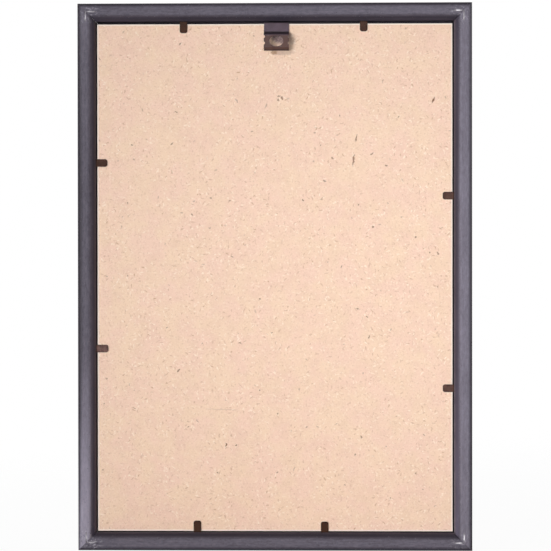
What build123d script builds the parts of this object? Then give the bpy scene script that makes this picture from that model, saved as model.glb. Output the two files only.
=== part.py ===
from build123d import *
import os

# Picture frame for the 21 x 30 cm format, upright, with its back to -Y and its glazed front to +Y.
# Four mitred plastic sticks hold the glass, a blank insert sheet and a hardboard back panel.
# Bendable steel points hold the panel in, and a sheet-metal clip on its top edge hangs the frame.
# Left and right are as seen from behind, with +X to the right. The origin is the middle of the box.
# In the section of a stick, "in" is measured from its outer face and "deep" from its rear crest.

# Format: the glass, the insert sheet and the back panel are cut to one size
FORMAT_WIDTH = 210.0
FORMAT_HEIGHT = 300.0
GLASS_THICKNESS = 2.0
INSERT_THICKNESS = 0.3
PANEL_THICKNESS = 3.0
PLAY_SIDE = 0.9  # rebate wall to the format's left and right edges
PLAY_BOTTOM = 0.7  # rebate wall to the format's bottom edge

# Moulding section
WALL = 10.6  # outer face to rebate wall
REAR_ROUND = 2.8  # outer rear edge
BEVEL_WIDTH = 3.6  # from the flat rear crest in to the rebate wall
BEVEL_DEPTH = 3.8
BEVEL_ROUND = 3.0  # edge between the crest and the bevel
LIP_COVER = 5.0  # reach of the front lip over the glass
LIP_THICKNESS = 4.6
FACE_ROUND = 2.4  # outer front edge
FACE_SLOPE_WIDTH = 6.0  # the face falls to the sight edge over this width
FACE_SLOPE_DROP = 2.4
FACE_SLOPE_ROUND = 2.0
SIGHT_ROUND = 0.5
MITRE_GAP = 0.06

# Flexible points: flat steel strips driven into the rebate wall and bent against the panel
POINT_WIDTH = 4.5
POINT_THICKNESS = 0.4
POINT_CORNER = 1.3  # rounded corners of the free end
POINT_TIP_WIDTH = 1.4  # driven end
POINT_TAPER = 2.2
POINT_COVER = 2.4  # plastic left between the driven end and the outer face
POINT_FIT = 0.02  # around the strip in its slit
POINT_LAND = 0.3  # straight rebate wall between the bevel and the strip
POINT_SEAT = 0.03  # between the strip and the panel
BEND_GAP = 0.1  # between the rebate wall and the rounded bend

# Each point: its side, its place along that side from the frame's middle, and its bare length
POINTS = {
    "top_left": ("top", -53.8, 6.9),
    "top_right": ("top", 52.7, 6.2),
    "left_upper": ("left", 67.6, 6.8),
    "left_lower": ("left", -42.3, 7.2),
    "right_upper": ("right", 47.9, 6.7),
    "right_lower": ("right", -65.8, 6.7),
    "bottom_left": ("bottom", -46.0, 6.9),
    "bottom_right": ("bottom", 29.4, 6.4),
}

# V-nails, pressed into the rear of the mitres on the crest's middle line
NAIL_ARM = 6.0
NAIL_THICKNESS = 0.6
NAIL_HEIGHT = 7.0
NAIL_SINK = 0.1
NAIL_FIT = 0.02

# Hanger clip: one bent strip, over the panel's top edge and down its back as a flat strap and a raised bridge
CLIP_OFFSET = 1.2  # to the right of the frame's middle
CLIP_WIDTH = 14.8
CLIP_THICKNESS = 0.5
CLIP_FIT = 0.1  # between the strip and the panel's faces
CLIP_HEADROOM = 0.8  # above the strip's top bend
CLIP_TOP_GAP = 0.3  # between the panel's top edge and the strip
CLIP_TOP_BEND = 0.6  # radii are at the strip's middle
CLIP_BEND = 0.5
CLIP_LEG = 12.0  # inner leg, down from the panel's top edge
STRAP_LENGTH = 5.0  # down from the panel's top edge to the riser
RISER_HEIGHT = 1.7  # of the steep riser between the strap and the bridge, seen from behind
BRIDGE_SETBACK = 0.8  # the bridge stays this far inside the plane of the rear crest
FOOT_HEIGHT = 1.7
FOOT_GAP = 0.5
HOLE_WIDTH = 8.1
HOLE_HEIGHT = 6.4
HOLE_RIM = 0.45  # flat bridge above and below the hole
NOTCH_RADIUS = 0.9
NOTCH_DEPTH = 0.7
NOTCH_SPREAD = 1.9  # two notches on each edge, this far above and below their middle
NOTCH_RISE = 0.7  # of that middle above the hole's

# Layers from the rear crest to the front
recess = BEVEL_DEPTH + POINT_LAND + POINT_THICKNESS + POINT_SEAT
leg_room = CLIP_THICKNESS + 2 * CLIP_FIT
insert_depth = recess + PANEL_THICKNESS + leg_room
glass_depth = insert_depth + INSERT_THICKNESS
seat_depth = glass_depth + GLASS_THICKNESS
depth = seat_depth + LIP_THICKNESS
rear = -depth / 2

# Outlines of the frame
play_top = CLIP_TOP_GAP + CLIP_THICKNESS + CLIP_HEADROOM
outer_width = FORMAT_WIDTH + 2 * (PLAY_SIDE + WALL)
outer_height = FORMAT_HEIGHT + play_top + PLAY_BOTTOM + 2 * WALL
format_middle = (PLAY_BOTTOM - play_top) / 2
panel_top = format_middle + FORMAT_HEIGHT / 2
face_width = WALL + LIP_COVER
crest_end = WALL - BEVEL_WIDTH
crest_middle = (REAR_ROUND + crest_end) / 2

# The bend of a point: its axis lies off the rebate wall, at the middle of the strip
bend_in = WALL + POINT_THICKNESS / 2 + BEND_GAP
strip_depth = recess - POINT_SEAT - POINT_THICKNESS

# The four sides in order, each a quarter turn about Y from the one before
SIDES = ("bottom", "right", "top", "left")

# The corner at the start of each side, where that side's own V-nail sits
CORNERS = {"bottom": "bottom_left", "right": "bottom_right", "top": "top_right", "left": "top_left"}


def side_length(side):
    """Outer length of the stick on a side."""
    return outer_width if side in ("bottom", "top") else outer_height


def side_frame(side):
    """Location of a side: X runs along it, Y is deep from the rear crest, Z is in from the outer face."""
    turn = -360 / len(SIDES) * SIDES.index(side)
    distance = (outer_width + outer_height - side_length(side)) / 2
    return Rot(0, turn, 0) * Pos(0, rear, -distance)


def along_side(side, place):
    """Place on the side's own X, which runs against the frame's X at the top and its Z at the left."""
    return place if side in ("bottom", "right") else -place


def plate(outline, start, thickness):
    """Solid of an outline in X and Z, from one depth to another."""
    return Pos(0, start, 0) * extrude(Plane.XZ * outline, amount=thickness, dir=(0, 1, 0))


def stick(length):
    """Moulding of one side: the section drawn out along X and cut at both mitres."""
    corners = [
        ((0, 0), REAR_ROUND),
        ((0, crest_end), BEVEL_ROUND),
        ((BEVEL_DEPTH, WALL), 0),
        ((seat_depth, WALL), 0),
        ((seat_depth, face_width), 0),
        ((depth - FACE_SLOPE_DROP, face_width), SIGHT_ROUND),
        ((depth, face_width - FACE_SLOPE_WIDTH), FACE_SLOPE_ROUND),
        ((depth, 0), FACE_ROUND),
    ]
    points = [point for point, _ in corners]
    radii = [radius for _, radius in corners]
    section = make_face(FilletPolyline(*points, radius=radii, close=True))
    bar = extrude(Plane.YZ * section, amount=length / 2, both=True)
    end = length / 2 - MITRE_GAP / 2 * 2**0.5
    trapezium = Polygon(
        (-end, 0), (end, 0), (end - face_width, face_width), (face_width - end, face_width), align=None
    )
    return bar & plate(trapezium, 0, depth)


def v_nail(length, grown=0.0):
    """V-nail at the start of a side: two thin arms from a bend on the mitre, along both sticks."""
    half = NAIL_THICKNESS / 2 + grown
    arm = NAIL_ARM + grown
    outline = Polygon(
        (-half, -half), (arm, -half), (arm, half), (half, half), (half, arm), (-half, arm), align=None
    )
    bend = Pos(crest_middle - length / 2, 0, crest_middle)
    return bend * plate(outline, NAIL_SINK, NAIL_HEIGHT + grown)


def nail_slot(length):
    """Slot that a V-nail leaves in the mitre, open at the rear crest."""
    nail = v_nail(length, NAIL_FIT)
    return nail + Pos(0, -NAIL_SINK, 0) * nail


def point_tab(bare_length):
    """Free end of a point: a flat tongue from its rounded bend to its rounded corners."""
    half = POINT_WIDTH / 2
    tip = WALL + bare_length
    tongue = Polygon((-half, bend_in), (half, bend_in), (half, tip), (-half, tip), align=None)
    tongue = fillet(tongue.vertices().group_by(Axis.Y)[-1], POINT_CORNER)
    bend = Pos(0, strip_depth + POINT_THICKNESS / 2, bend_in) * Rot(0, 90, 0)
    return plate(tongue, strip_depth, POINT_THICKNESS) + bend * Cylinder(POINT_THICKNESS / 2, POINT_WIDTH)


def point_shank(grown=0.0):
    """Driven end of a point, from the rebate wall out to its narrow tip."""
    half = POINT_WIDTH / 2 + grown
    tip = POINT_TIP_WIDTH / 2 + grown
    end = POINT_COVER - grown
    outline = Polygon(
        (-half, WALL), (-half, end + POINT_TAPER), (-tip, end), (tip, end), (half, end + POINT_TAPER),
        (half, WALL), align=None,
    )
    return plate(outline, strip_depth - grown, POINT_THICKNESS + 2 * grown)


def sheet(start, thickness):
    """Sheet cut to the format, at its depth in the rebate."""
    return Pos(0, rear + start + thickness / 2, format_middle) * Box(FORMAT_WIDTH, thickness, FORMAT_HEIGHT)


def hanger_clip():
    """Strip bent along a line in Y and Z, with its oval nail hole and edge notches cut from behind."""
    panel_rear = rear + recess
    behind = panel_rear - CLIP_THICKNESS / 2
    inside = panel_rear + PANEL_THICKNESS + CLIP_FIT + CLIP_THICKNESS / 2
    over = panel_top + CLIP_TOP_GAP + CLIP_THICKNESS / 2
    bridge_rise = recess - CLIP_THICKNESS - BRIDGE_SETBACK
    strap_end = panel_top - STRAP_LENGTH
    bridge_top = strap_end - RISER_HEIGHT
    bridge_end = bridge_top - HOLE_HEIGHT - 2 * HOLE_RIM
    line = FilletPolyline(
        (0, inside, panel_top - CLIP_LEG),
        (0, inside, over),
        (0, behind - CLIP_FIT, over),
        (0, behind - CLIP_FIT, strap_end),
        (0, behind - bridge_rise, bridge_top),
        (0, behind - bridge_rise, bridge_end),
        (0, behind - FOOT_GAP, bridge_end - FOOT_HEIGHT),
        radius=[CLIP_TOP_BEND, CLIP_TOP_BEND] + [CLIP_BEND] * 3,
    )
    start = Plane(line @ 0, x_dir=(1, 0, 0), z_dir=line % 0)
    strip = sweep(start * Rectangle(CLIP_WIDTH, CLIP_THICKNESS), path=line)
    hole_middle = (bridge_top + bridge_end) / 2
    notch = CLIP_WIDTH / 2 - NOTCH_DEPTH + NOTCH_RADIUS
    notches = [
        Pos(edge * notch, hole_middle + NOTCH_RISE + step) * Circle(NOTCH_RADIUS)
        for edge in (-1, 1)
        for step in (-NOTCH_SPREAD, NOTCH_SPREAD)
    ]
    cuts = Pos(0, hole_middle) * Ellipse(HOLE_WIDTH / 2, HOLE_HEIGHT / 2) + notches
    return Pos(CLIP_OFFSET, 0, 0) * (strip - plate(cuts, rear, recess))


nodes = {
    "glass_pane": sheet(glass_depth, GLASS_THICKNESS),
    "insert_sheet": sheet(insert_depth, INSERT_THICKNESS),
    "back_panel": sheet(recess, PANEL_THICKNESS),
    "hanger_clip": hanger_clip(),
}

slots = []
for side in SIDES:
    nodes["v_nail_" + CORNERS[side]] = side_frame(side) * v_nail(side_length(side))
    slots.append(side_frame(side) * nail_slot(side_length(side)))

slits = {side: [] for side in SIDES}
for name, (side, along, bare_length) in POINTS.items():
    place = side_frame(side) * Pos(along_side(side, along), 0, 0)
    nodes["retainer_" + name + "_tab"] = place * point_tab(bare_length)
    nodes["retainer_" + name + "_shank"] = place * point_shank()
    slits[side].append(place * point_shank(POINT_FIT))

for side in SIDES:
    nodes["moulding_" + side] = side_frame(side) * stick(side_length(side)) - slots - slits[side]

os.makedirs("parts", exist_ok=True)
for name, shape in nodes.items():
    export_step(shape, "parts/" + name + ".step")
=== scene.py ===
import bmesh
import bpy
import numpy as np
from mathutils import Matrix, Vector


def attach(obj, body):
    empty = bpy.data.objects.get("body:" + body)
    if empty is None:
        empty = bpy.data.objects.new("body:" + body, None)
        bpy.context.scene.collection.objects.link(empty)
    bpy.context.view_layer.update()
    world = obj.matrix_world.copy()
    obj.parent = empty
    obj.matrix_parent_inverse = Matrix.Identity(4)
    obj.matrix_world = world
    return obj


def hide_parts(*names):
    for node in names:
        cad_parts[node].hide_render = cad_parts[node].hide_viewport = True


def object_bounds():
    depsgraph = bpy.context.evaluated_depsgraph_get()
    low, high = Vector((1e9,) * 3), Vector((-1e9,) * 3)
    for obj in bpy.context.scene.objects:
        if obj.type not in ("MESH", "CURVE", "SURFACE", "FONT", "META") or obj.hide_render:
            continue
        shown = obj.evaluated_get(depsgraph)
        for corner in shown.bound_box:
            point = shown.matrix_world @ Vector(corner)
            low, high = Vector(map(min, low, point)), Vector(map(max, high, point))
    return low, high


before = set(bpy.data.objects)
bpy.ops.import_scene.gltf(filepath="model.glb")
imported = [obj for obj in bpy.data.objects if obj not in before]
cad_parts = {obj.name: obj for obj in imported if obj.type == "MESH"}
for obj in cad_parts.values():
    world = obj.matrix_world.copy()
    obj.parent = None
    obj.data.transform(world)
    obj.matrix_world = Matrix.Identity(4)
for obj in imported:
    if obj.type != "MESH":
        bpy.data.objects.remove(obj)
cad_low, cad_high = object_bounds()


# Moulding sticks: four lengths of dark plastic profile, extruded, mitred and butted into a frame.
# The flat rear crest is rubbed grey along its length, the bevel down to the rebate stays dark, and the
# face at the front is satin and nearly clean. A short trough at each end takes a leg of the V-nail.
left, REAR, bottom = np.round(1000 * np.array(cad_low), 3)
right, front, top = np.round(1000 * np.array(cad_high), 3)
OUTER_WIDTH, DEPTH, OUTER_HEIGHT = right - left, front - REAR, top - bottom
MITRE_GAP, MITRE_EASE = 0.042, 0.08
NAIL_LINE, NAIL_END = 4.9, 10.94
TROUGH_HALF, TROUGH_DEPTH, TROUGH_WALL = 0.35, 0.35, 0.02


def rounded_loop(corners, radii, steps):
    """Closed outline with round corners. Each corner is cut back along both of its sides by the radius over
    the tangent of half its angle, and an arc is swept about the centre on its bisector from one cut to the
    other."""
    corners = np.array(corners, float)
    radii = np.array(radii, float)[:, None]
    back = np.roll(corners, 1, 0) - corners
    ahead = np.roll(corners, -1, 0) - corners
    back /= np.linalg.norm(back, axis=1, keepdims=True)
    ahead /= np.linalg.norm(ahead, axis=1, keepdims=True)
    half = np.arccos((back * ahead).sum(1, keepdims=True)) / 2
    bisector = (back + ahead) / np.linalg.norm(back + ahead, axis=1, keepdims=True)
    centre = corners + bisector * radii / np.sin(half)
    start = (corners + back * radii / np.tan(half) - centre)[:, None]
    stop = (corners + ahead * radii / np.tan(half) - centre)[:, None]
    sweep = (np.pi - 2 * half)[:, None]
    share = np.linspace(0, 1, steps)[None, :, None]
    arc = (np.sin((1 - share) * sweep) * start + np.sin(share * sweep) * stop) / np.sin(sweep)
    return (centre[:, None] + arc).reshape(-1, 2)


def loop_normals(loop):
    """Unit vectors that point into a closed outline: the chord between a point's two neighbours, turned by a
    quarter."""
    chord = np.roll(loop, -1, 0) - np.roll(loop, 1, 0)
    normal = np.stack([chord[:, 1], -chord[:, 0]], 1)
    twice_area = (loop[:, 0] * np.roll(loop[:, 1], -1) - loop[:, 1] * np.roll(loop[:, 0], -1)).sum()
    return -np.sign(twice_area) * normal / np.linalg.norm(normal, axis=1, keepdims=True)


def band_faces(rows, columns):
    """Quads of a grid whose columns close on themselves: each joins a point to the next column and row."""
    index = np.arange(rows * columns).reshape(rows, columns)
    beside = np.roll(index, -1, 1)
    return np.stack([index[:-1], beside[:-1], beside[1:], index[1:]], -1).reshape(-1, 4)


def closed_faces(loops):
    """Faces of a stack of loops, closed at both ends."""
    rows, columns = loops.shape[:2]
    ends = [list(range(columns)), list(range((rows - 1) * columns, rows * columns))]
    return band_faces(rows, columns).tolist() + ends


def add_piece(name, points, faces, body, slot, nodes, finish, crease=35, **attributes):
    """Mesh object from points in millimetres. Points that coincide are merged, and edges past the crease
    stay sharp."""
    mesh = bpy.data.meshes.new(name)
    mesh.from_pydata((points * 0.001).tolist(), [], faces)
    for key, values in attributes.items():
        kind = "FLOAT_VECTOR" if values.ndim == 2 else "FLOAT"
        layer = mesh.attributes.new(key, kind, "POINT")
        layer.data.foreach_set("vector" if values.ndim == 2 else "value", values.astype(np.float32).ravel())
    shell = bmesh.new()
    shell.from_mesh(mesh)
    bmesh.ops.remove_doubles(shell, verts=shell.verts, dist=2e-7)
    bmesh.ops.recalc_face_normals(shell, faces=shell.faces)
    shell.to_mesh(mesh)
    shell.free()
    mesh.shade_smooth()
    mesh.set_sharp_from_angle(angle=np.radians(crease))
    mesh.materials.append(finish)
    made = bpy.data.objects.new(name, mesh)
    bpy.context.scene.collection.objects.link(made)
    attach(made, body)
    if nodes:
        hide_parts(*nodes)
    return made


def add_node(tree, kind, settings=None, inputs=None):
    """Shader node with its settings, and with each input set to a value or linked to another's output."""
    made = tree.nodes.new("ShaderNode" + kind)
    for key, value in (settings or {}).items():
        setattr(made, key, value)
    for key, value in (inputs or {}).items():
        if isinstance(value, bpy.types.NodeSocket):
            tree.links.new(value, made.inputs[key])
        else:
            made.inputs[key].default_value = value
    return made


def add_finish(name):
    """New material with one Principled shader, its node tree, and that shader."""
    finish = bpy.data.materials.new(name)
    finish.use_nodes = True
    return finish, finish.node_tree, finish.node_tree.nodes["Principled BSDF"]


def attribute(tree, name, output="Vector"):
    """What a mesh carries at its points under a name."""
    return add_node(tree, "Attribute", {"attribute_name": name}).outputs[output]


def parts(tree, vector):
    """The three parts of a vector."""
    return add_node(tree, "SeparateXYZ", None, {0: vector}).outputs


def stretched_noise(tree, vector, stretch, detail=2.0, rough=0.5, seed=0.0):
    """Noise whose grain is one over the stretch along each axis, in metres; the seed slides it."""
    moved = add_node(tree, "VectorMath", {"operation": "MULTIPLY_ADD"}, {
        0: vector, 1: stretch, 2: (seed,) * 3})
    made = add_node(tree, "TexNoise", None, {"Vector": moved.outputs[0], "Scale": 1.0, "Detail": detail,
                                             "Roughness": rough})
    return made.outputs["Fac"]


def ramp(tree, value, low, high, from_value=0.0, to_value=1.0):
    """Smooth step of a value: from_value below low, to_value above high."""
    return add_node(tree, "MapRange", {"interpolation_type": "SMOOTHSTEP"}, {
        "Value": value, "From Min": low, "From Max": high, "To Min": from_value,
        "To Max": to_value}).outputs[0]


def combine(tree, operation, first, second):
    """One Math step of two values."""
    return add_node(tree, "Math", {"operation": operation}, {0: first, 1: second}).outputs[0]


def product(tree, first, *others):
    """Values multiplied together."""
    for other in others:
        first = combine(tree, "MULTIPLY", first, other)
    return first


def magnitude(tree, value):
    """A value without its sign."""
    return add_node(tree, "Math", {"operation": "ABSOLUTE"}, {0: value}).outputs[0]


def tint(tree, share, first, second):
    """Mix of two colours by a share."""
    return add_node(tree, "Mix", {"data_type": "RGBA"}, {0: share, 6: first, 7: second}).outputs[2]


def set_surface(tree, shader, colour, rough, strength=0.0, distance=0.0, height=None):
    """Links a finish's colour and roughness, and a bump where a height is given."""
    tree.links.new(colour, shader.inputs["Base Color"])
    tree.links.new(rough, shader.inputs["Roughness"])
    if height is not None:
        bump = add_node(tree, "Bump", None, {"Strength": strength, "Distance": distance, "Height": height})
        tree.links.new(bump.outputs[0], shader.inputs["Normal"])


plastic, tree, shader = add_finish("dark_moulding_plastic")
place = attribute(tree, "section")
_, inward, deep = parts(tree, place)
end = attribute(tree, "end", "Fac")
scuff = attribute(tree, "scuff", "Fac")
rubbed, hazed, dusty = parts(tree, attribute(tree, "wear"))
outer_edge, inner_edge, rim_highlight_share = parts(tree, attribute(tree, "edges"))
streaks = stretched_noise(tree, place, (70, 1500, 1500), 3.0, 0.6)
haze = stretched_noise(tree, place, (45, 130, 130), 4.0, 0.6, 7.0)
mottle = stretched_noise(tree, place, (300, 800, 800), 3.0, 0.65, 9.0)
grain = stretched_noise(tree, place, (1100, 1100, 1100), 2.0, 0.6, 3.0)
patchy = stretched_noise(tree, place, (380, 900, 900), 3.0, 0.6, 11.0)
dents = stretched_noise(tree, place, (520, 800, 800), 3.0, 0.6, 15.0)

# The crest is rubbed grey between its two edges, streaked along the stick and mottled; beyond its outer edge
# the rounding keeps the dark base colour, on the left stick as painted shade
crest = product(tree, ramp(tree, combine(tree, "SUBTRACT", inward, outer_edge), -0.0013, 0.0013),
                ramp(tree, combine(tree, "SUBTRACT", inward, inner_edge), -0.0013, 0.0013, 1.0, 0.0),
                ramp(tree, deep, 0.0035, 0.0045, 1.0, 0.0))
rub = product(tree, rubbed, ramp(tree, haze, 0.3, 0.7, 0.88, 1.08))
rub = combine(tree, "ADD", rub, ramp(tree, streaks, 0.3, 0.75, -0.03, 0.05))
rub = combine(tree, "ADD", rub, ramp(tree, mottle, 0.3, 0.7, -0.06, 0.07))
rub = product(tree, rub, crest)
colour = tint(tree, rub, (0.024, 0.019, 0.028, 1), (0.340, 0.315, 0.395, 1))

# The bevel is hazed over and dust lies low on it; along its foot, by the rebate wall, a painted highlight
# lies in patches
bevel = product(tree, ramp(tree, inward, 0.0072, 0.0084), ramp(tree, deep, 0.0042, 0.0050, 1.0, 0.0), hazed,
                ramp(tree, haze, 0.3, 0.7, 0.8, 1.2))
colour = tint(tree, bevel, colour, (0.118, 0.103, 0.150, 1))
rebate_side = ramp(tree, inward, 0.0060, 0.0080)
dust = product(tree, ramp(tree, deep, 0.0022, 0.0037), ramp(tree, deep, 0.0042, 0.0048, 1.0, 0.0), dusty,
               ramp(tree, grain, 0.3, 0.7, 0.5, 1.0), rebate_side)
colour = tint(tree, dust, colour, (0.115, 0.080, 0.084, 1))
rim_highlight = product(tree, ramp(tree, deep, 0.0030, 0.0036), ramp(tree, deep, 0.0041, 0.0045, 1.0, 0.0), rim_highlight_share,
                ramp(tree, mottle, 0.38, 0.62, 0.25, 1.0), ramp(tree, hazed, 0.1, 0.7, 0.2, 1.0),
                rebate_side)
colour = tint(tree, rim_highlight, colour, (0.200, 0.172, 0.190, 1))

# Pale specks lie all over, and dark pits in the crest
specks = product(tree, ramp(tree, grain, 0.62, 0.80), ramp(tree, deep, 0.0005, 0.003, 0.34, 0.06))
colour = tint(tree, specks, colour, (0.40, 0.38, 0.43, 1))
pits = product(tree, ramp(tree, grain, 0.38, 0.24), crest, 0.6)
colour = tint(tree, pits, colour, (0.035, 0.031, 0.04, 1))

# The crest is whitened beside the ends of the nails' arms, and scuffed and dented near the corners
beside_nail = magnitude(tree, combine(tree, "SUBTRACT", inward, NAIL_LINE * 0.001))
by_nail = product(tree, ramp(tree, end, 0.0060, 0.0075), ramp(tree, end, 0.0092, 0.0114, 1.0, 0.0),
                  ramp(tree, beside_nail, 0.0003, 0.0009, 1.0, 0.0),
                  ramp(tree, patchy, 0.42, 0.64, 0.0, 0.5), crest)
by_corner = product(tree, ramp(tree, end, 0.0030, 0.0055), ramp(tree, end, 0.0090, 0.0170, 1.0, 0.0),
                    crest, scuff)
whitened = combine(tree, "MAXIMUM", by_nail, product(tree, by_corner, ramp(tree, dents, 0.53, 0.64)))
colour = tint(tree, whitened, colour, (0.46, 0.44, 0.50, 1))
dented = product(tree, by_corner, ramp(tree, dents, 0.42, 0.33))
colour = tint(tree, dented, colour, (0.030, 0.026, 0.034, 1))

# The rubbed crest and the outer side are rougher than the rest, the face at the front smoother
rough = combine(tree, "ADD", ramp(tree, rub, 0.0, 0.6, 0.45, 0.62),
                ramp(tree, deep, 0.0095, 0.0120, 0.0, -0.14))
rough = combine(tree, "ADD", rough, ramp(tree, inward, 0.0001, 0.0006, 0.25, 0.0))
shader.inputs["Specular IOR Level"].default_value = 0.14
relief = combine(tree, "ADD", product(tree, streaks, 0.5), grain)
set_surface(tree, shader, colour, rough, 0.3, 0.00005, relief)

CREST_END, REBATE_WALL, LIP_END, FACE_END = 7.0, 10.6, 15.6, 9.6
BEVEL_FOOT, SEAT, SIGHT_EDGE = 3.8, 10.53, 12.73
ARC_STEPS = 9
section = rounded_loop([(0, 0), (0, CREST_END), (BEVEL_FOOT, REBATE_WALL), (SEAT, REBATE_WALL),
                        (SEAT, LIP_END), (SIGHT_EDGE, LIP_END), (DEPTH, FACE_END), (DEPTH, 0)],
                       [2.8, 3.0, 0.2, 0.15, 0.15, 0.5, 2.0, 2.4], ARC_STEPS)
trough_lines = [NAIL_LINE + side * TROUGH_HALF + wall * TROUGH_WALL for side in (-1, 1) for wall in (-1, 1)]
section = np.insert(section, ARC_STEPS, [(0, line) for line in (3.6, *trough_lines)], 0)
section_normals = loop_normals(section)


def stick_points(length):
    """Section drawn along a side. A row stands square to the side at its distance from the outer corner, but
    no nearer the mitre than its setback, so the first rows lie along the mitre, drawn in by a quarter round;
    the trough is a step down between two lines of the crest. Returns points as along, deep and inward, and
    that distance."""
    eased = MITRE_EASE * np.array([0, 0.2, 0.5, 1])
    square = np.concatenate([[NAIL_END - TROUGH_WALL, NAIL_END + TROUGH_WALL, 12, 14, 16.5],
                             np.arange(20, length / 2 - 2, 6)])
    setback = np.concatenate([eased, np.full(len(square), MITRE_EASE)])[:, None]
    square = np.concatenate([np.zeros(len(eased)), square])[:, None]
    from_end = np.maximum(square, section[None, :, 1] + MITRE_GAP + setback)
    drawn_in = MITRE_EASE - np.sqrt(MITRE_EASE**2 - (MITRE_EASE - setback) ** 2)
    on_line = (np.abs(section[:, 1] - NAIL_LINE) < TROUGH_HALF) & (section[:, 0] < 0.01)
    in_trough = on_line & (from_end < NAIL_END)
    lines = section[None] + drawn_in[..., None] * section_normals[None]
    lines[..., 0] += TROUGH_DEPTH * in_trough
    half = np.concatenate([(length / 2 - from_end)[..., None], lines], -1)
    other = half[::-1] * (-1, 1, 1)
    return np.concatenate([half, other]), np.concatenate([from_end, from_end[::-1]])


def on_side(turn, local):
    """Points given as along, deep and inward on a side, stood on its outer face and turned about Y."""
    distance = OUTER_HEIGHT if turn % 2 == 0 else OUTER_WIDTH
    quarter = -np.pi / 2 * turn
    up = local[..., 2] - distance / 2
    return np.stack([np.cos(quarter) * local[..., 0] + np.sin(quarter) * up, REAR + local[..., 1],
                     np.cos(quarter) * up - np.sin(quarter) * local[..., 0]], -1)


# Wear of each stick at four places along it: how grey the crest and the bevel are rubbed, and where the grey
# starts and ends in from the outer face; then its dust, its rim, and the scuffs at its two ends. The rim is
# a painted highlight along the foot of the bevel. The left stick's grey starts further in, so the rounding
# of its outer face is darkened as painted shade; its crest and bevel are much lighter at its lower end.
STICK_WEAR = {
    "bottom": {"crest": (0.36, 0.30, 0.29, 0.30), "bevel": (0.10, 0.06, 0.06, 0.12),
               "outer": (1.6, 1.8, 1.9, 1.9), "inner": (7.9, 7.9, 7.8, 7.4),
               "dust": 0.30, "rim": 0.9, "scuff": (0.7, 0.25)},
    "right": {"crest": (0.47, 0.50, 0.48, 0.47), "bevel": (0.80, 0.28, 0.17, 0.26),
              "outer": (1.45, 1.5, 1.45, 1.15), "inner": (7.5, 7.8, 7.8, 7.3),
              "dust": 0.45, "rim": 0.8, "scuff": (0.25, 0.35)},
    "top": {"crest": (0.36, 0.35, 0.32, 0.31), "bevel": (0.18, 0.12, 0.10, 0.22),
            "outer": (1.85, 1.7, 1.6, 1.8), "inner": (7.6, 7.6, 7.6, 7.6),
            "dust": 0.05, "rim": 0.05, "scuff": (0.4, 0.4)},
    "left": {"crest": (0.40, 0.26, 0.33, 1.00), "bevel": (0.40, 0.27, 0.34, 0.46),
             "outer": (2.1, 2.7, 2.4, 1.15), "inner": (8.6, 8.6, 8.6, 7.8),
             "dust": 0.85, "rim": 0.0, "scuff": (0.3, 0.7)}}
for turn, (side, worn) in enumerate(STICK_WEAR.items()):
    length = OUTER_WIDTH if turn % 2 == 0 else OUTER_HEIGHT
    local, from_end = stick_points(length)
    where = np.stack([local[..., 0] + 1000.0 * turn, np.broadcast_to(section[:, 1], from_end.shape),
                      np.broadcast_to(section[:, 0], from_end.shape)], -1).reshape(-1, 3)
    stations = np.linspace(-0.47, 0.47, 4) * length
    crest_wear, bevel_wear, outer_edge, inner_edge = [
        np.interp(local[..., 0], stations, worn[key]) for key in ("crest", "bevel", "outer", "inner")]
    wear = np.stack(np.broadcast_arrays(crest_wear, bevel_wear, worn["dust"]), -1)
    edges = np.stack(np.broadcast_arrays(outer_edge * 0.001, inner_edge * 0.001, worn["rim"]), -1)
    scuff = np.where(local[..., 0] < 0, *worn["scuff"])
    add_piece("stick_" + side, on_side(turn, local).reshape(-1, 3), closed_faces(local), "frame",
              "moulding_plastic", ["moulding_" + side], plastic, section=where * 0.001,
              end=from_end.ravel() * 0.001, wear=wear.reshape(-1, 3), edges=edges.reshape(-1, 3),
              scuff=scuff.ravel())


# V-nails: bent steel fasteners, pressed into the rear of the mitres to pull the sticks together.
# Only their upper edges show, dull at the bend and rubbed bright along the arms.
NAIL_BEND = (OUTER_WIDTH / 2 - NAIL_LINE, OUTER_HEIGHT / 2 - NAIL_LINE)


def dress(name, finish):
    """Gives a CAD node's own mesh one finish."""
    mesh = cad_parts[name].data
    mesh.materials.clear()
    mesh.materials.append(finish)


nail_steel, tree, shader = add_finish("bright_nail_steel")
place = add_node(tree, "TexCoord").outputs["Object"]
x, _, z = parts(tree, place)
scratch = stretched_noise(tree, place, (900, 900, 900), 3.0, 0.6)
patchy = stretched_noise(tree, place, (330, 330, 330), 2.0, 0.5, 3.0)
on_arm = combine(tree, "MAXIMUM", *[combine(tree, "SUBTRACT", bend * 0.001, magnitude(tree, axis))
                                    for bend, axis in zip(NAIL_BEND, (x, z))])
rubbed = product(tree, ramp(tree, on_arm, 0.0006, 0.0024), ramp(tree, on_arm, 0.0036, 0.0060, 1.0, 0.1),
                 ramp(tree, patchy, 0.38, 0.56, 0.3, 1.0), ramp(tree, x, -0.05, 0.05, 0.40, 0.72))
shine = combine(tree, "ADD", rubbed, ramp(tree, scratch, 0.5, 0.75, 0.0, 0.15))
colour = tint(tree, shine, (0.115, 0.105, 0.12, 1), (0.66, 0.64, 0.67, 1))
set_surface(tree, shader, colour, ramp(tree, scratch, 0.2, 0.8, 0.3, 0.6))
shader.inputs["Metallic"].default_value = 1.0
for corner in ("top_left", "top_right", "bottom_left", "bottom_right"):
    dress("v_nail_" + corner, nail_steel)


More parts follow.
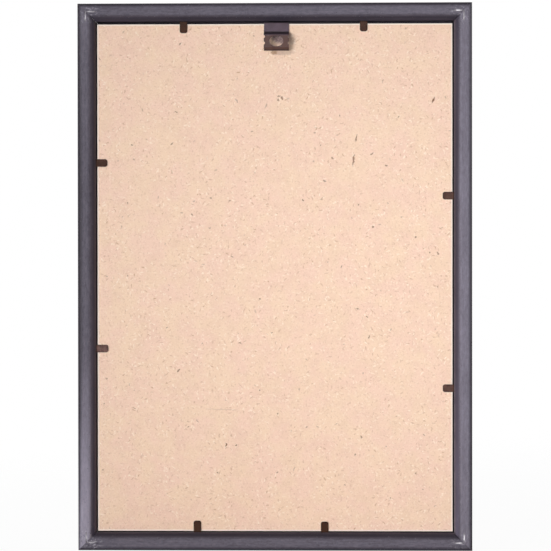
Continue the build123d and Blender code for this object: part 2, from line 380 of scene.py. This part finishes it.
# Glass pane: clear float glass, cut to the format, laid into the rebate against the lip. It shows at the
# front only, with a trace of green and the faint streaks that wiping leaves. Lamps shine through it.
clear_glass, tree, shader = add_finish("clear_pane_glass")
place = add_node(tree, "TexCoord").outputs["Object"]
wipe = stretched_noise(tree, place, (9, 9, 30), 3.0, 0.6)
tree.links.new(ramp(tree, wipe, 0.35, 0.8, 0.01, 0.06), shader.inputs["Roughness"])
shader.inputs["Base Color"].default_value = (0.985, 0.993, 0.988, 1)
shader.inputs["Transmission Weight"].default_value = 1.0
shader.inputs["IOR"].default_value = 1.5
through = add_node(tree, "BsdfTransparent", None, {"Color": (0.985, 0.993, 0.988, 1)})
passing = add_node(tree, "MixShader", None, {
    0: add_node(tree, "LightPath").outputs["Is Shadow Ray"], 1: shader.outputs[0], 2: through.outputs[0]})
tree.links.new(passing.outputs[0], tree.nodes["Material Output"].inputs["Surface"])
dress("glass_pane", clear_glass)


# Insert sheet: a blank off-white card behind the glass, cut to the format and pressed flat by the panel.
# Its fibres cloud the white a little.
insert_paper, tree, shader = add_finish("blank_insert_paper")
place = add_node(tree, "TexCoord").outputs["Object"]
cloud = stretched_noise(tree, place, (160, 160, 160), 4.0, 0.6)
fibre = stretched_noise(tree, place, (1800, 1800, 700), 2.0, 0.6, 5.0)
colour = tint(tree, ramp(tree, cloud, 0.3, 0.7), (0.830, 0.818, 0.790, 1), (0.85, 0.84, 0.815, 1))
set_surface(tree, shader, colour, ramp(tree, fibre, 0.2, 0.8, 0.82, 0.95), 0.15, 0.00002, fibre)
dress("insert_sheet", insert_paper)


# Back panel: a sheet of thin raw hardboard, sawn to the format, that closes the back and presses the layers
# together. The wood fibre shows as fine dark and light specks, cloudy patches and a few long flecks of bark.
# Near the top the clip's shade is painted on the board, under its bridge, beside it and below its foot; a
# small stain lies below the foot.
PANEL_EASE, PANEL_STEP, PANEL_WAVE = 0.25, 2.5, 0.006
RAGGED = 0.0014


def node_box(name):
    """Lowest and highest corner of a CAD node's mesh, in millimetres to a thousandth."""
    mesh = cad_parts[name].data
    points = np.empty(3 * len(mesh.vertices), np.float32)
    mesh.vertices.foreach_get("co", points)
    points = 1000 * points.reshape(-1, 3).astype(float)
    return np.round(points.min(0), 3), np.round(points.max(0), 3)


(panel_left, PANEL_REAR, panel_bottom), (panel_right, PANEL_FRONT, PANEL_TOP) = node_box("back_panel")
PANEL_WIDTH, PANEL_HEIGHT = panel_right - panel_left, PANEL_TOP - panel_bottom
PANEL_MIDDLE = (PANEL_TOP + panel_bottom) / 2

hardboard, tree, shader = add_finish("raw_hardboard")
place = add_node(tree, "TexCoord").outputs["Object"]
x, _, z = parts(tree, place)
flat = add_node(tree, "CombineXYZ", None, {0: x, 1: z}).outputs[0]


def strokes(tree, vector, scale, seed, lengths, widths, shown, fade):
    """Short strokes scattered one to a cell of one over the scale, in metres. Each cell turns its stroke at
    random and draws its length and width between the two given; a share of the cells shows it, the weaker
    the more it fades."""
    moved = add_node(tree, "VectorMath", {"operation": "ADD"}, {
        0: vector, 1: (seed, seed * 1.7, 0)}).outputs[0]
    cells = add_node(tree, "TexVoronoi", {"voronoi_dimensions": "2D"}, {"Vector": moved, "Scale": scale})
    turn, size, chance = add_node(tree, "SeparateColor", None, {0: cells.outputs["Color"]}).outputs
    middle = cells.outputs["Position"]
    drawn = add_node(tree, "TexWhiteNoise", {"noise_dimensions": "2D"}, {"Vector": middle})
    strength, girth, _ = add_node(tree, "SeparateColor", None, {0: drawn.outputs["Color"]}).outputs
    local = add_node(tree, "VectorMath", {"operation": "SUBTRACT"}, {0: moved, 1: middle}).outputs[0]
    local = add_node(tree, "VectorRotate", {"rotation_type": "Z_AXIS"}, {
        "Vector": local, "Angle": combine(tree, "MULTIPLY", turn, 2 * np.pi)}).outputs[0]
    half_length, half_width = [
        add_node(tree, "MapRange", None, {"Value": value, "To Min": limits[0] / 2, "To Max": limits[1] / 2})
        for value, limits in ((size, lengths), (girth, widths))]
    halves = add_node(tree, "CombineXYZ", None, {
        0: half_length.outputs[0], 1: half_width.outputs[0], 2: 1.0}).outputs[0]
    local = add_node(tree, "VectorMath", {"operation": "DIVIDE"}, {0: local, 1: halves}).outputs[0]
    away = add_node(tree, "VectorMath", {"operation": "LENGTH"}, {0: local}).outputs["Value"]
    return product(tree, ramp(tree, away, 0.45, 1.15, 1.0, 0.0), combine(tree, "LESS_THAN", chance, shown),
                   combine(tree, "POWER", strength, fade))


def from_spot(tree, vector, across, up, half_length, half_width, turn=0):
    """Distance from a spot's middle over its half length and half width, turned by degrees: 1 on its rim."""
    local = add_node(tree, "Mapping", {"vector_type": "TEXTURE"}, {
        "Vector": vector, "Location": (across * 0.001 + RAGGED / 2, up * 0.001 + RAGGED / 2, 0),
        "Rotation": (0, 0, np.radians(turn)),
        "Scale": (half_length * 0.001, half_width * 0.001, 1)}).outputs[0]
    return add_node(tree, "VectorMath", {"operation": "LENGTH"}, {0: local}).outputs["Value"]


ragged = add_node(tree, "TexNoise", {"noise_dimensions": "2D"}, {
    "Vector": flat, "Scale": 700.0, "Detail": 2.0})
ragged = add_node(tree, "VectorMath", {"operation": "MULTIPLY_ADD"}, {
    0: ragged.outputs["Color"], 1: (RAGGED, RAGGED, 0), 2: flat}).outputs[0]

# The ground is a pinkish tan in cloudy patches, and the finest fibres are lighter or darker
patches = stretched_noise(tree, place, (75, 75, 75), 3.0, 0.6)
clouds = stretched_noise(tree, place, (170, 170, 170), 3.0, 0.6, 6.0)
fibres = stretched_noise(tree, place, (1000, 1000, 1000), 3.0, 0.65, 2.0)
colour = tint(tree, ramp(tree, patches, 0.32, 0.68), (0.908, 0.678, 0.510, 1), (0.908, 0.648, 0.522, 1))
colour = tint(tree, ramp(tree, clouds, 0.62, 0.30, 0.0, 0.18), colour, (0.70, 0.47, 0.35, 1))
colour = tint(tree, ramp(tree, fibres, 0.46, 0.24, 0.0, 0.6), colour, (0.50, 0.30, 0.19, 1))
colour = tint(tree, ramp(tree, fibres, 0.54, 0.76, 0.0, 0.7), colour, (1.0, 0.83, 0.70, 1))

# Longer fibres lie on it in bunches, the pale ones raised, and specks of bark are strewn among them
bunched = ramp(tree, stretched_noise(tree, place, (90, 90, 90), 2.0, 0.5, 12.0), 0.36, 0.62, 0.35, 1.0)
pale = combine(
    tree, "MAXIMUM", strokes(tree, ragged, 250.0, 5.0, (0.0012, 0.0034), (0.0006, 0.0010), 0.85, 0.5),
    strokes(tree, ragged, 310.0, 8.0, (0.0008, 0.0022), (0.0006, 0.0010), 0.75, 0.5))
raised = product(tree, pale, bunched)
colour = tint(tree, raised, colour, (1.0, 0.82, 0.685, 1))
dark = strokes(tree, ragged, 270.0, 3.0, (0.0010, 0.0030), (0.0005, 0.0009), 0.95, 0.6)
colour = tint(tree, product(tree, dark, bunched, 0.8), colour, (0.61, 0.37, 0.235, 1))
bark = product(tree, strokes(tree, ragged, 120.0, 1.0, (0.0010, 0.0026), (0.0007, 0.0011), 0.20, 1.3), 0.75)

# Larger flecks of bark: across and up on the board, turn in degrees, length, width, and how dark they are
BARK_FLECKS = (
    (46.6, 68.9, 84, 7.0, 1.2, 0.75), (48.3, 81.9, 78, 4.4, 1.1, 0.68), (93.8, 104.4, 67, 3.8, 1.2, 0.9),
    (2.8, 106.8, 20, 2.2, 1.1, 0.6), (4.4, 105.6, 100, 2.6, 1.1, 0.7), (2.2, 104.6, 140, 1.9, 1.1, 0.55),
    (-28.9, -99.4, 79, 2.7, 1.1, 0.9), (-23.0, -99.8, 70, 1.5, 1.0, 0.85), (83.2, 23.4, 55, 1.8, 1.0, 0.7),
    (-57.0, -55.3, 54, 3.0, 1.0, 0.7), (58.2, 29.6, 3, 1.6, 1.0, 0.7), (29.5, 56.7, 169, 2.3, 1.0, 0.6),
    (66.0, 65.7, 1, 1.6, 1.1, 0.7), (-60.7, 79.0, 34, 2.3, 1.0, 0.6), (91.6, 14.4, 110, 1.5, 1.0, 0.7),
    (49.0, -18.9, 170, 1.7, 1.0, 0.6), (57.6, 72.6, 30, 2.0, 1.0, 0.6), (11.4, -113.6, 61, 3.7, 0.8, 0.4),
    (-22.4, 104.2, 125, 3.8, 0.8, 0.4), (-5.1, 101.1, 62, 3.2, 0.8, 0.4),
    (-31.0, -78.4, 178, 22.0, 0.7, 0.18))
for across, up, turn, length, width, strength in BARK_FLECKS:
    away = from_spot(tree, ragged, across, up, length / 2, width / 2, turn)
    bark = combine(tree, "MAXIMUM", bark, ramp(tree, away, 0.6, 1.2, strength, 0.0))
colour = tint(tree, bark, colour, (0.20, 0.085, 0.035, 1))

# Painted shade of the clip and one stain: across and up, half length and half width, how far they cover the
# board, and their colour. The first is painted shade under the bridge that shows through the upper part of
# its hole, the second painted shadow beside its right edge, the third painted shadow below its foot; the
# last is a brown stain.
CLIP_SHADE_AND_STAIN_MARKS = (
    (3.6, 142.2, 7.6, 5.8, 0.94, (0.135, 0.09, 0.115, 1)),
    (10.3, 139.6, 2.4, 2.8, 0.45, (0.36, 0.24, 0.18, 1)),
    (4.8, 132.9, 8.6, 2.4, 0.58, (0.42, 0.30, 0.235, 1)),
    (-0.2, 132.5, 2.6, 1.5, 0.8, (0.36, 0.20, 0.11, 1)))
for across, up, half_length, half_width, share, shade_and_stain_colour in CLIP_SHADE_AND_STAIN_MARKS:
    away = from_spot(tree, ragged, across, up, half_length, half_width)
    rubbed = product(tree, ramp(tree, away, 0.5, 1.0, share, 0.0), ramp(tree, fibres, 0.35, 0.65, 1.0, 0.75))
    colour = tint(tree, rubbed, colour, shade_and_stain_colour)

# The sawn rim is paler
from_side = combine(tree, "SUBTRACT", PANEL_WIDTH / 2000, magnitude(tree, x))
from_end = combine(tree, "SUBTRACT", PANEL_HEIGHT / 2000, magnitude(
    tree, combine(tree, "SUBTRACT", z, PANEL_MIDDLE * 0.001)))
sawn = ramp(tree, combine(tree, "MINIMUM", from_side, from_end), 0.0004, 0.0012, 0.85, 0.0)
colour = tint(tree, sawn, colour, (0.985, 0.87, 0.79, 1))
shader.inputs["Specular IOR Level"].default_value = 0.1
relief = combine(tree, "SUBTRACT", combine(tree, "ADD", fibres, raised), product(tree, bark, 0.8))
set_surface(tree, shader, colour, ramp(tree, fibres, 0.3, 0.7, 0.78, 0.92), 0.7, 0.0001, relief)


def edge_spaced(size, step):
    """Places across a width, close together over each eased rim and a step apart between."""
    rim = PANEL_EASE * np.array([0, 0.12, 0.3, 0.6, 1.0])
    inner = np.linspace(rim[-1], size - rim[-1], int(round(size / step)))
    return np.concatenate([rim[:-1], inner, size - rim[:-1][::-1]]) - size / 2


def grid_faces(index):
    """Quads of an open grid of point numbers: each joins a point to the next column and row."""
    return np.stack([index[..., :-1, :-1], index[..., :-1, 1:], index[..., 1:, 1:], index[..., 1:, :-1]], -1)


def panel_sheet(across, up, surface, sign):
    """One face of the panel: flat but for the rim, which falls by a quarter round, and a slow waviness."""
    x, z = np.meshgrid(across, up)
    margin = np.minimum(PANEL_WIDTH / 2 - np.abs(x), PANEL_HEIGHT / 2 - np.abs(z))
    left = np.clip(1 - margin / PANEL_EASE, 0, 1)
    fall = PANEL_EASE * (1 - np.sqrt(1 - left**2))
    wave = PANEL_WAVE * (2 + np.sin(x / 11.0 + 2 * np.sin(z / 23.0))
                         + np.sin(z / 9.0 + 2 * np.sin(x / 17.0)))
    return np.stack([x, surface + sign * (fall + wave * (1 - left)), z + PANEL_MIDDLE], -1)


across, up = edge_spaced(PANEL_WIDTH, PANEL_STEP), edge_spaced(PANEL_HEIGHT, PANEL_STEP)
sheets = np.stack([panel_sheet(across, up, PANEL_REAR, 1), panel_sheet(across, up, PANEL_FRONT, -1)])
index = np.arange(sheets[..., 0].size).reshape(sheets.shape[:3])
faces = grid_faces(index).reshape(-1, 4)
rim = np.concatenate([index[:, 0, :-1], index[:, :-1, -1], index[:, -1, :0:-1], index[:, :0:-1, 0]], 1)
walls = np.stack([rim[0], np.roll(rim[0], -1), np.roll(rim[1], -1), rim[1]], -1)
add_piece("panel_hardboard", sheets.reshape(-1, 3), np.concatenate([faces, walls]).tolist(), "frame",
          "panel_hardboard", ["back_panel"], hardboard)


# Hanger clip: one strip of thin lacquered steel, pushed over the top edge of the panel. Its strap lies flat
# on the board, then rises steeply to a bridge with an oval hole for the nail; its edges carry small notches.
CLIP_MIDDLE, CLIP_HALF, CLIP_SHEET, CLIP_EASE = 1.2, 7.4, 0.5, 0.07
CLIP_FIT, CLIP_TOP_GAP, CLIP_LEG = 0.1, 0.3, 12.0
STRAP_LENGTH, RISER_HEIGHT, BRIDGE_RISE, BRIDGE_HEIGHT = 5.0, 1.7, 3.13, 7.3
FOOT_HEIGHT, FOOT_FALL = 1.7, 2.73
TOP_BEND, LOW_BEND = 0.6, 0.5
HOLE_HALVES = (4.05, 3.2)
NOTCH_RISE, NOTCH_SPREAD, NOTCH_RADIUS, NOTCH_CENTRE = 0.7, 1.9, 0.9, 7.6
BEND_STEPS, EDGE_STEPS, STRIP_COLUMNS = 7, 48, 17

clip_lacquer, tree, shader = add_finish("dark_clip_lacquer")
place = add_node(tree, "TexCoord").outputs["Object"]
along, from_rim, _ = parts(tree, attribute(tree, "strip"))
scratch = stretched_noise(tree, place, (260, 900, 1500), 3.0, 0.6)
cloud = stretched_noise(tree, place, (250, 250, 250), 3.0, 0.55, 4.0)
grain = stretched_noise(tree, place, (1500, 1500, 1500), 2.0, 0.6, 8.0)
colour = tint(tree, ramp(tree, along, 0.0240, 0.0262), (0.106, 0.074, 0.098, 1), (0.102, 0.052, 0.044, 1))
colour = tint(tree, ramp(tree, cloud, 0.35, 0.68, 0.0, 0.4), colour, (0.056, 0.038, 0.044, 1))
colour = tint(tree, ramp(tree, scratch, 0.60, 0.80, 0.0, 0.4), colour, (0.20, 0.15, 0.16, 1))
worn = product(tree, ramp(tree, from_rim, 0.0, 0.00035, 1.0, 0.0), ramp(tree, grain, 0.5, 0.66, 0.0, 0.6))
colour = tint(tree, worn, colour, (0.30, 0.25, 0.25, 1))
# Painted shade: the riser between the strap and the bridge, and the low end of the foot, are darkened
painted_crease_shade = product(tree, ramp(tree, along, 0.0203, 0.0212), ramp(tree, along, 0.0238, 0.0250, 0.85, 0.0))
painted_crease_shade = combine(tree, "MAXIMUM", painted_crease_shade, ramp(tree, along, 0.0330, 0.0340, 0.0, 0.5))
colour = tint(tree, painted_crease_shade, colour, (0.016, 0.010, 0.012, 1))
shader.inputs["Specular IOR Level"].default_value = 0.2
set_surface(tree, shader, colour, ramp(tree, scratch, 0.3, 0.8, 0.38, 0.58), 0.2, 0.00003, grain)

half_sheet = CLIP_SHEET / 2
leg_line = PANEL_FRONT + CLIP_FIT + half_sheet
strap_line = PANEL_REAR - CLIP_FIT - half_sheet
bridge_line = strap_line - BRIDGE_RISE
over_panel = PANEL_TOP + CLIP_TOP_GAP + half_sheet
strap_end = PANEL_TOP - STRAP_LENGTH
bridge_top = strap_end - RISER_HEIGHT
bridge_end = bridge_top - BRIDGE_HEIGHT
HOLE_MIDDLE = (bridge_top + bridge_end) / 2
bend_corners = np.array([(leg_line, PANEL_TOP - CLIP_LEG), (leg_line, over_panel), (strap_line, over_panel),
                         (strap_line, strap_end), (bridge_line, bridge_top), (bridge_line, bridge_end),
                         (bridge_line + FOOT_FALL, bridge_end - FOOT_HEIGHT)])
bend_line = rounded_loop(bend_corners, [TOP_BEND] * 3 + [LOW_BEND] * 4, BEND_STEPS)[BEND_STEPS:-BEND_STEPS]
bend_line = np.concatenate([bend_corners[:1], bend_line, bend_corners[-1:]])
BRIDGE_TOP_ROW = 4 * BEND_STEPS
BRIDGE_END_ROW = BRIDGE_TOP_ROW + 1
step = np.diff(bend_line, axis=0)
bend_length = np.concatenate([[0], np.cumsum(np.linalg.norm(step, axis=1))])


def bridge_half(height):
    """Half the strip's width at a height on the bridge: the full half, less the round notches in an edge."""
    from_notch = np.abs(np.abs(height - HOLE_MIDDLE - NOTCH_RISE) - NOTCH_SPREAD)
    return np.minimum(CLIP_HALF, NOTCH_CENTRE - np.sqrt(np.maximum(NOTCH_RADIUS**2 - from_notch**2, 0)))


def clip_sheet(offset, inset):
    """One side of the strip, at an offset from its middle line and drawn in from its edges. Rows follow the
    bent line, columns run across. Between the bridge's two bends a ring of points spreads from the oval hole
    to the edges. Returns rows and rings, each as points with the length along the strip and the distance
    from the edge."""
    line = bend_line.copy()
    line[0] += inset * step[0] / np.linalg.norm(step[0])
    line[-1] -= inset * step[-1] / np.linalg.norm(step[-1])
    chord = np.gradient(line, axis=0)
    normal = np.stack([-chord[:, 1], chord[:, 0]], 1) / np.linalg.norm(chord, axis=1, keepdims=True)
    half = np.where(np.arange(len(line)) > 2 * BEND_STEPS, bridge_half(line[:, 1]), CLIP_HALF) - inset
    across = half[:, None] * np.linspace(-1, 1, STRIP_COLUMNS)
    side = line + offset * normal
    from_ends = np.minimum(bend_length, bend_length[-1] - bend_length)
    rim = np.minimum(half[:, None] - np.abs(across), from_ends[:, None])
    rows = np.stack(np.broadcast_arrays(across, side[:, :1], side[:, 1:], bend_length[:, None], rim), -1)
    top, end = rows[BRIDGE_TOP_ROW], rows[BRIDGE_END_ROW]
    share = np.linspace(0, 1, EDGE_STEPS + 2)[1:-1, None]
    right = (1 - share) * top[-1] + share * end[-1]
    right[:, 0] = bridge_half(right[:, 2]) - inset
    outer = np.concatenate([top, right, end[::-1], (right * (-1, 1, 1, 1, 1))[::-1]])
    turn = np.arctan2((outer[:, 2] - HOLE_MIDDLE) / HOLE_HALVES[1], outer[:, 0] / HOLE_HALVES[0])
    hole = outer.copy()
    hole[:, 0] = (HOLE_HALVES[0] + inset) * np.cos(turn)
    hole[:, 2] = HOLE_MIDDLE + (HOLE_HALVES[1] + inset) * np.sin(turn)
    hole[:, 3] = outer[:, 3].mean()
    spread = np.array([0, 0.12, 0.4, 0.7, 1.0])[:, None, None]
    rings = (1 - spread) * hole + spread * outer
    width = np.linalg.norm((outer - hole)[:, [0, 2]], axis=1)
    rings[..., 4] = np.minimum(spread[..., 0], 1 - spread[..., 0]) * width
    return rows, rings


def outline_of(rows, rings):
    """The strip's edge as one closed loop: its inner end, the right edge, its foot and the left edge."""
    right = rings[-1, STRIP_COLUMNS:STRIP_COLUMNS + EDGE_STEPS]
    left = rings[-1, 2 * STRIP_COLUMNS + EDGE_STEPS:]
    return np.concatenate([rows[0], rows[1:BRIDGE_TOP_ROW + 1, -1], right, rows[BRIDGE_END_ROW:, -1],
                           rows[-1, -2::-1], rows[-2:BRIDGE_TOP_ROW:-1, 0], left,
                           rows[BRIDGE_TOP_ROW:0:-1, 0]])


sheets = [clip_sheet(offset, inset) for offset, inset in (
    (-half_sheet, CLIP_EASE), (CLIP_EASE - half_sheet, 0),
    (half_sheet - CLIP_EASE, 0), (half_sheet, CLIP_EASE))]
points, faces = [], []
start = 0
for rows, rings in (sheets[0], sheets[-1]):
    index = np.arange(rows[..., 0].size).reshape(rows.shape[:2])
    quads = np.delete(grid_faces(index), BRIDGE_TOP_ROW, 0).reshape(-1, 4)
    ring_quads = band_faces(*rings.shape[:2]) + index.size
    points += [rows.reshape(-1, 5), rings.reshape(-1, 5)]
    faces += [quads + start, ring_quads + start]
    start += index.size + rings[..., 0].size
edge_loops = np.stack([outline_of(rows, rings) for rows, rings in sheets])
hole_loops = np.stack([rings[0] for _, rings in sheets])
for loops in (edge_loops, hole_loops):
    points.append(loops.reshape(-1, 5))
    faces.append(band_faces(*loops.shape[:2]) + start)
    start += loops[..., 0].size
points = np.concatenate(points)
where = np.stack([points[:, 3], points[:, 4], np.zeros(len(points))], -1)
add_piece("clip_strip", points[:, :3] + (CLIP_MIDDLE, 0, 0), np.concatenate(faces).tolist(), "hanger",
          "clip_steel", ["hanger_clip"], clip_lacquer, strip=where * 0.001)


# Flexible points: flat tongues of burnished steel, driven into the rebate wall and bent down on the panel to
# hold it. The driven ends sit in their slits; the tongues have rounded corners and brown-black heat colours.
POINT_HALF, POINT_CORNER, POINT_SHEET, POINT_SEAT, BEND_GAP = 2.25, 1.3, 0.4, 0.03, 0.1
POINT_AXIS = PANEL_REAR - REAR - POINT_SEAT - POINT_SHEET / 2
POINT_BEND = REBATE_WALL + BEND_GAP + POINT_SHEET / 2
TONGUE_EASE, ROOT_CORNER, CORNER_STEPS = 0.1, 0.02, 8
SHANK_ROOT, SHANK_SHOULDER, SHANK_TIP, SHANK_TIP_HALF, SHANK_EASE = 10.68, 4.6, 2.4, 0.7, 0.05

point_steel, tree, shader = add_finish("burnished_point_steel")
place = add_node(tree, "TexCoord").outputs["Object"]
rim, tone, _ = parts(tree, attribute(tree, "wear"))
cloud = stretched_noise(tree, place, (420, 420, 420), 3.0, 0.6)
grain = stretched_noise(tree, place, (1600, 1600, 1600), 2.0, 0.6, 4.0)
colour = tint(tree, tone, (0.046, 0.0175, 0.008, 1), (0.205, 0.118, 0.106, 1))
colour = tint(tree, ramp(tree, cloud, 0.40, 0.70, 0.0, 0.55), colour, (0.028, 0.020, 0.017, 1))
colour = tint(tree, product(tree, rim, 0.5), colour, (0.022, 0.016, 0.014, 1))
colour = tint(tree, ramp(tree, grain, 0.60, 0.78, 0.0, 0.3), colour, (0.16, 0.10, 0.07, 1))
shader.inputs["Specular IOR Level"].default_value = 0.06
set_surface(tree, shader, colour, ramp(tree, cloud, 0.3, 0.7, 0.40, 0.58), 0.2, 0.00003, grain)


def tongue_loops(reach):
    """Tongue of a point as loops from its rear face, round its eased edge, to its front face. The root is
    rounded about the bend's axis, so it sets back as a half round does; the free end has two round
    corners."""
    half = POINT_SHEET / 2
    level = half * np.array([-1, -1, -0.85, -0.5, 0, 0.5, 0.85, 1, 1])
    inset = TONGUE_EASE * np.array([4.5, 1, 0.3, 0, 0, 0, 0.3, 1, 4.5])
    root = POINT_BEND - np.sqrt(half**2 - level**2) + np.maximum(inset - TONGUE_EASE, 0)
    loops = []
    for deep, edge, base in zip(level, inset, root):
        side, tip = POINT_HALF - edge, reach - edge
        loop = rounded_loop([(-side, base), (side, base), (side, tip), (-side, tip)],
                            [ROOT_CORNER] * 2 + [POINT_CORNER - edge] * 2, CORNER_STEPS)
        loops.append(np.insert(loop, 1, POINT_AXIS + deep, 1))
    return np.stack(loops), (inset <= TONGUE_EASE).astype(float)


def shank_loops():
    """Driven end of a point as four loops about its tapered outline, the outer two eased, up to the bend."""
    outline = np.array([
        (-POINT_HALF, SHANK_ROOT), (-POINT_HALF, SHANK_SHOULDER), (-SHANK_TIP_HALF, SHANK_TIP),
        (SHANK_TIP_HALF, SHANK_TIP), (POINT_HALF, SHANK_SHOULDER), (POINT_HALF, SHANK_ROOT)])
    middle = (SHANK_ROOT + SHANK_TIP) / 2
    drawn_in = outline - SHANK_EASE * np.sign(outline - (0, middle))
    half = POINT_SHEET / 2
    levels = ((drawn_in, -half), (outline, SHANK_EASE - half), (outline, half - SHANK_EASE),
              (drawn_in, half))
    return np.stack([np.insert(loop, 1, POINT_AXIS + deep, 1) for loop, deep in levels])


def place_on_side(turn, box):
    """Middle of a box along a side, and its reach in from the side's outer face: on_side turned back."""
    distance = OUTER_HEIGHT if turn % 2 == 0 else OUTER_WIDTH
    quarter = -np.pi / 2 * turn
    x, _, z = np.transpose(box)
    along = np.cos(quarter) * x - np.sin(quarter) * z
    up = np.sin(quarter) * x + np.cos(quarter) * z
    return np.round(along.mean(), 3), np.round(up.max() + distance / 2, 3)


for name, turn, tone in (
        ("top_left", 2, 0.12), ("top_right", 2, 0.2), ("left_upper", 3, 0.16), ("left_lower", 3, 0.9),
        ("right_upper", 1, 0.35), ("right_lower", 1, 0.4),
        ("bottom_left", 0, 0.06), ("bottom_right", 0, 0.04)):
    along, reach = place_on_side(turn, node_box("retainer_" + name + "_tab"))
    tongue, rim = tongue_loops(reach)
    wear = np.stack(np.broadcast_arrays(rim[:, None], tone, np.zeros(tongue.shape[:2])), -1).reshape(-1, 3)
    add_piece("point_" + name, on_side(turn, tongue + (along, 0, 0)).reshape(-1, 3), closed_faces(tongue),
              "retainer_" + name, "point_steel", ["retainer_" + name + "_tab"], point_steel, wear=wear)
    shank = shank_loops()
    wear = np.stack(np.broadcast_arrays(0.5, tone, np.zeros(shank.shape[:2])), -1).reshape(-1, 3)
    add_piece("shank_" + name, on_side(turn, shank + (along, 0, 0)).reshape(-1, 3), closed_faces(shank),
              "frame", "point_steel", ["retainer_" + name + "_shank"], point_steel, wear=wear)


# Studio: a round pale floor that fades into an even white surround, and five soft lamps. A wide key stands
# on the left of the back, a weak lamp above it and a narrow fill straight behind; one lights the glazed
# front and one the right side.
FLOOR_RADIUS = 1.1
spoke, ring = np.meshgrid(np.linspace(0, 2 * np.pi, 97)[:-1], np.linspace(0, FLOOR_RADIUS, 12))
disc = np.stack([ring * np.cos(spoke), ring * np.sin(spoke), np.full_like(ring, cad_low[2] - 0.0002)], -1)
floor_mesh = bpy.data.meshes.new("floor")
floor_mesh.from_pydata(disc.reshape(-1, 3).tolist(), [], band_faces(*ring.shape).tolist())
floor = bpy.data.objects.new("floor", floor_mesh)
bpy.context.scene.collection.objects.link(floor)
floor.visible_shadow = False
pale_floor, tree, shader = add_finish("pale_floor")
shader.inputs["Base Color"].default_value = (0.86, 0.86, 0.86, 1)
shader.inputs["Roughness"].default_value = 0.9


def seen_directly(tree):
    """One for rays from the camera and for rays that a gloss or glass sends on, nought for diffuse light."""
    path = add_node(tree, "LightPath").outputs
    return combine(tree, "MAXIMUM", path["Is Camera Ray"], combine(
        tree, "MAXIMUM", path["Is Glossy Ray"], path["Is Transmission Ray"]))


white = add_node(tree, "Emission", None, {"Color": (1, 1, 1, 1), "Strength": 1.0})
lit = add_node(tree, "MixShader", None, {
    0: product(tree, seen_directly(tree), 0.94), 1: shader.outputs[0], 2: white.outputs[0]})
from_middle = add_node(tree, "VectorMath", {"operation": "LENGTH"}, {
    0: add_node(tree, "TexCoord").outputs["Object"]}).outputs["Value"]
clear = add_node(tree, "BsdfTransparent")
faded = add_node(tree, "MixShader", None, {
    0: ramp(tree, from_middle, 0.45, FLOOR_RADIUS - 0.02), 1: lit.outputs[0], 2: clear.outputs[0]})
tree.links.new(faded.outputs[0], tree.nodes["Material Output"].inputs["Surface"])
floor_mesh.materials.append(pale_floor)

surround = bpy.data.worlds.new("surround")
bpy.context.scene.world = surround
surround.use_nodes = True
tree = surround.node_tree
sky = tree.nodes["Background"]
tree.links.new(tint(tree, seen_directly(tree), (1.0, 0.90, 0.83, 1), (1, 1, 1, 1)), sky.inputs["Color"])
tree.links.new(ramp(tree, seen_directly(tree), 0.0, 1.0, 0.08, 1.0), sky.inputs["Strength"])


def add_lamp(name, place, aim, size, power, spread=180):
    """Square soft lamp at a place, turned to face its aim; it shines within a cone of so many degrees."""
    lamp = bpy.data.lights.new(name, "AREA")
    lamp.size = size
    lamp.energy = power
    lamp.spread = np.radians(spread)
    made = bpy.data.objects.new(name, lamp)
    away = np.array(place) - np.array(aim)
    away = away / np.linalg.norm(away)
    side = np.cross((0, 0, 1), away)
    side = side / np.linalg.norm(side)
    made.matrix_world = Matrix(np.column_stack([np.append(side, 0), np.append(np.cross(away, side), 0),
                                                np.append(away, 0), np.append(place, 1)]).tolist())
    bpy.context.scene.collection.objects.link(made)


add_lamp("key", (-2.1, -3.0, -0.05), (1.35, 0, 0), 2.4, 28.2, 70)
add_lamp("top", (-0.2, -1.7, 1.5), (0.1, 0, 0), 1.0, 3.0)
add_lamp("fill", (0.085, -1.2, -0.005), (0.085, 0, -0.005), 0.25, 0.115, 28)
add_lamp("front", (-0.7, 1.7, 0.7), (0, 0, 0), 1.0, 31.0)
add_lamp("side", (1.9, 0.45, 0.4), (0, 0, 0), 0.8, 10.0)


# Camera: square on to the back, a little right of the middle and level with it, with a long lens.
FOCAL_PIXELS, PICTURE_PIXELS = 2532.3, 551
lens = bpy.data.cameras.new("camera")
lens.lens = FOCAL_PIXELS * lens.sensor_width / PICTURE_PIXELS
camera = bpy.data.objects.new("camera", lens)
pan, tilt, roll = np.radians([1.583, -0.552, 0.069])
camera.matrix_world = (Matrix.Translation((0.04183, -1.5, 0.0153)) @ Matrix.Rotation(pan, 4, "Z")
                       @ Matrix.Rotation(tilt, 4, "X") @ Matrix.Rotation(roll, 4, "Y")
                       @ Matrix.Rotation(np.pi / 2, 4, "X"))
bpy.context.scene.collection.objects.link(camera)
bpy.context.scene.camera = camera
bpy.context.scene.view_settings.view_transform = "Standard"
